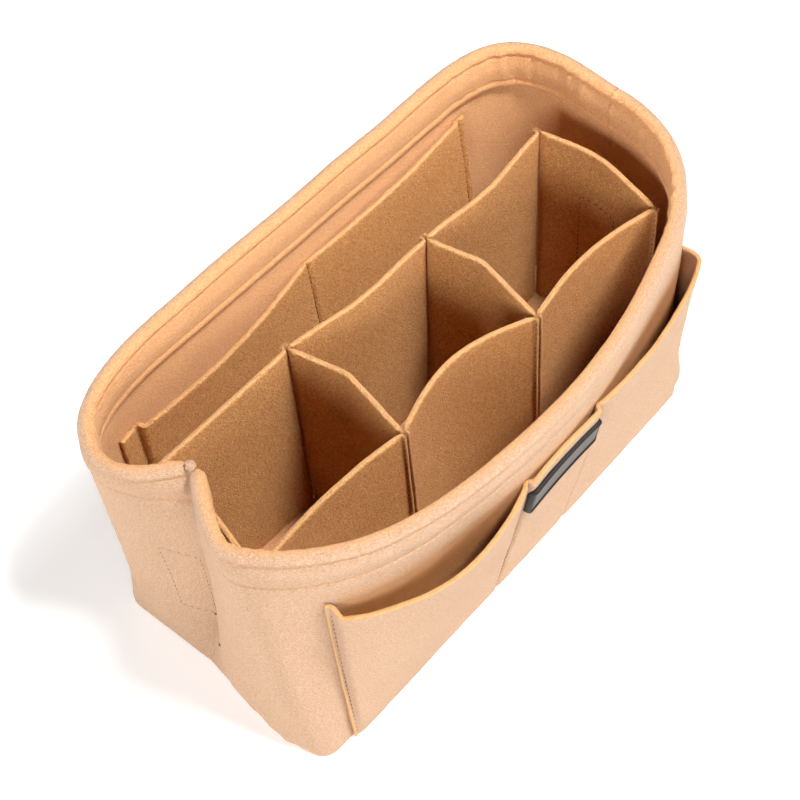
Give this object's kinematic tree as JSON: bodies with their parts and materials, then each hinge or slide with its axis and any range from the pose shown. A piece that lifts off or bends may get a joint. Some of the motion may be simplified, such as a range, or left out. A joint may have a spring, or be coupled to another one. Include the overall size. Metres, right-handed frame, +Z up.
{
  "type": "purse organizer insert",
  "caption": "Felt purse organizer insert with an outer pocket row, a blank leather patch, an inner pocket row and a lift-out folding divider unit.",
  "frame": {"origin": "middle of the underside of the felt floor", "axes": "+X along the length, to the right as seen from the pocket side; -Y towards the outer pockets and the patch; +Z up"},
  "size_m": [0.2699, 0.1559, 0.13],
  "materials": {
    "shell_felt": "matt wool-like felt",
    "inner_felt": "matt wool-like felt",
    "leather": "matt grained leather",
    "hook_loop": "matt napped tape"
  },
  "bodies": {
    "shell": {"front_shell": "shell_felt", "back_shell": "shell_felt", "base_panel": "shell_felt", "left_seam_welt": "shell_felt", "outer_pocket": "shell_felt", "label_patch": "leather", "inner_pocket": "inner_felt", "left_loop_patch": "hook_loop", "right_loop_patch": "hook_loop"},
    "divider_back": {"back_panel_1": "inner_felt", "back_panel_2": "inner_felt", "back_panel_3": "inner_felt"},
    "divider_front": {"front_panel_1": "inner_felt", "front_panel_2": "inner_felt", "front_panel_3": "inner_felt"},
    "cross_1_rear": {"cross_1_rear": "inner_felt", "left_hook_patch": "hook_loop"},
    "cross_1_fore": {"cross_1_fore": "inner_felt"},
    "cross_2_rear": {"cross_2_rear": "inner_felt"},
    "cross_2_fore": {"cross_2_fore": "inner_felt"},
    "cross_3_rear": {"cross_3_rear": "inner_felt"},
    "cross_3_fore": {"cross_3_fore": "inner_felt"},
    "cross_4_rear": {"cross_4_rear": "inner_felt"},
    "cross_4_fore": {"cross_4_fore": "inner_felt", "right_hook_patch": "hook_loop"}
  },
  "joints": [
    {"name": "divider_lift", "type": "slide", "parent": "shell", "child": "divider_back", "axis": [0, 0, 1], "range_m": [0, 0.14]},
    {"name": "divider_fold", "type": "hinge", "parent": "divider_back", "child": "cross_2_rear", "pos_m": [-0.03995, 0.0284, 0.056], "axis": [0, 0, 1], "range_deg": [0, 11]},
    {"name": "cross_1_rear_hinge", "type": "hinge", "parent": "divider_back", "child": "cross_1_rear", "pos_m": [-0.115, 0.0284, 0.056], "axis": [0, 0, 1], "range_deg": [0, 11.5]},
    {"name": "cross_3_rear_hinge", "type": "hinge", "parent": "divider_back", "child": "cross_3_rear", "pos_m": [0.0351, 0.0284, 0.056], "axis": [0, 0, 1], "range_deg": [0, 11.5]},
    {"name": "cross_4_rear_hinge", "type": "hinge", "parent": "divider_back", "child": "cross_4_rear", "pos_m": [0.11015, 0.0284, 0.056], "axis": [0, 0, 1], "range_deg": [0, 11.5]},
    {"name": "cross_1_crease", "type": "hinge", "parent": "cross_1_rear", "child": "cross_1_fore", "pos_m": [-0.1085, 0.0045, 0.056], "axis": [0, 0, 1], "range_deg": [-19.5, 0]},
    {"name": "cross_2_crease", "type": "hinge", "parent": "cross_2_rear", "child": "cross_2_fore", "pos_m": [-0.03345, 0.0045, 0.056], "axis": [0, 0, 1], "range_deg": [-19.5, 0]},
    {"name": "cross_3_crease", "type": "hinge", "parent": "cross_3_rear", "child": "cross_3_fore", "pos_m": [0.0416, 0.0045, 0.056], "axis": [0, 0, 1], "range_deg": [-19.5, 0]},
    {"name": "cross_4_crease", "type": "hinge", "parent": "cross_4_rear", "child": "cross_4_fore", "pos_m": [0.11665, 0.0045, 0.056], "axis": [0, 0, 1], "range_deg": [-19.5, 0]},
    {"name": "front_sheet_hinge", "type": "hinge", "parent": "cross_2_fore", "child": "divider_front", "pos_m": [-0.03995, -0.0289, 0.056], "axis": [0, 0, 1], "range_deg": [0, 8.3]}
  ],
  "couplings": [
    {"joint": "cross_1_rear_hinge", "follows": "divider_fold", "ratio": 1},
    {"joint": "cross_3_rear_hinge", "follows": "divider_fold", "ratio": 1},
    {"joint": "cross_4_rear_hinge", "follows": "divider_fold", "ratio": 1},
    {"joint": "cross_1_crease", "follows": "divider_fold", "ratio": -1.7279},
    {"joint": "cross_2_crease", "follows": "divider_fold", "ratio": -1.7279},
    {"joint": "cross_3_crease", "follows": "divider_fold", "ratio": -1.7279},
    {"joint": "cross_4_crease", "follows": "divider_fold", "ratio": -1.7279},
    {"joint": "front_sheet_hinge", "follows": "divider_fold", "ratio": 0.7279}
  ]
}
